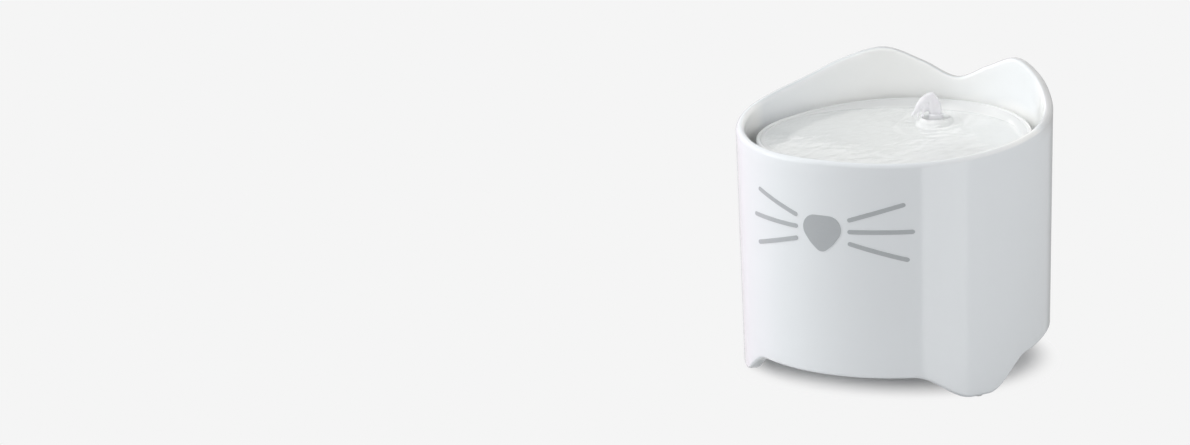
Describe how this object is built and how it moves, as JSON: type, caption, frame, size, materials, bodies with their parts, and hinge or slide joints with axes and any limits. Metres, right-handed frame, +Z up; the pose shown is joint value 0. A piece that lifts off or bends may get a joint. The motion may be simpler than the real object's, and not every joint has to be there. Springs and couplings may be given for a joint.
{
  "type": "pet water fountain",
  "caption": "Round ceramic pet fountain with ear-shaped back rim, whisker print, feet, lift-out drinking dish, bubbling spout, filter basket and submersible pump.",
  "frame": {"origin": "centre of the bowl on the surface that the feet stand on", "axes": "+Z up, -Y towards the front with the face print, +Y towards the back with the ears, spout and cable hole, +X to the right as seen from the front"},
  "size_m": [0.1902, 0.1918, 0.175],
  "materials": {
    "white_glaze": "glossy white glaze",
    "dish_glaze": "glossy white glaze",
    "grey_print": "grey print under gloss",
    "foot_rubber": "frosted silicone",
    "grommet_rubber": "matte",
    "nozzle_plastic": "glossy white",
    "riser_silicone": "translucent silicone",
    "basket_plastic": "satin white",
    "foam": "open-cell foam",
    "carbon": "fleece over activated carbon",
    "pump_plastic": "satin black",
    "cover_plastic": "satin black",
    "slider_plastic": "glossy blue",
    "core_steel": "laminated steel",
    "coil_copper": "enamelled copper wire",
    "impeller_plastic": "satin white",
    "magnet_ferrite": "ground ferrite",
    "shaft_ceramic": "polished ceramic",
    "bush_rubber": "matte",
    "cup_silicone": "clear silicone"
  },
  "bodies": {
    "bowl": {"bowl": "white_glaze", "foot_pad_left": "foot_rubber", "foot_pad_right": "foot_rubber", "foot_pad_rear": "foot_rubber", "nose_print": "grey_print", "whisker_prints": "grey_print", "cable_grommet": "grommet_rubber"},
    "dish": {"drinking_dish": "dish_glaze"},
    "pump": {"pump_body": "pump_plastic", "motor_core": "core_steel", "motor_coil": "coil_copper", "motor_end_cap": "pump_plastic", "cable_gland": "grommet_rubber", "impeller_shaft": "shaft_ceramic", "front_bush": "bush_rubber", "rear_bush": "bush_rubber", "volute_cover": "cover_plastic", "cover_seal": "bush_rubber", "suction_cup_1": "cup_silicone", "suction_cup_2": "cup_silicone", "suction_cup_3": "cup_silicone", "suction_cup_4": "cup_silicone", "riser_tube": "riser_silicone", "filter_basket": "basket_plastic"},
    "filter": {"foam_disc": "foam", "carbon_filter": "carbon"},
    "nozzle": {"spout_nozzle": "nozzle_plastic"},
    "impeller": {"impeller": "impeller_plastic", "rotor_magnet": "magnet_ferrite"},
    "front_cover": {"pump_front_cover": "cover_plastic"},
    "flow_slider": {"flow_slider": "slider_plastic"}
  },
  "joints": [
    {"name": "dish_lift", "type": "slide", "parent": "bowl", "child": "dish", "axis": [0, 0, 1], "range_m": [0, 0.15]},
    {"name": "pump_lift", "type": "slide", "parent": "bowl", "child": "pump", "axis": [0, 0, 1], "range_m": [0, 0.045]},
    {"name": "filter_lift", "type": "slide", "parent": "pump", "child": "filter", "axis": [0, 0, 1], "range_m": [0, 0.0375]},
    {"name": "nozzle_pull", "type": "slide", "parent": "pump", "child": "nozzle", "axis": [0, 0, 1], "range_m": [0, 0.012]},
    {"name": "impeller_spin", "type": "hinge", "parent": "pump", "child": "impeller", "pos_m": [0, 0.06, 0.0538], "axis": [0, 1, 0], "continuous": true},
    {"name": "cover_pull", "type": "slide", "parent": "pump", "child": "front_cover", "axis": [0, 1, 0], "range_m": [0, 0.0055]},
    {"name": "flow_slide", "type": "slide", "parent": "front_cover", "child": "flow_slider", "axis": [0, 0, 1], "range_m": [0, 0.006]}
  ],
  "couplings": [
    {"joint": "pump_lift", "follows": "dish_lift", "ratio": 0.3},
    {"joint": "filter_lift", "follows": "dish_lift", "ratio": 0.25}
  ]
}
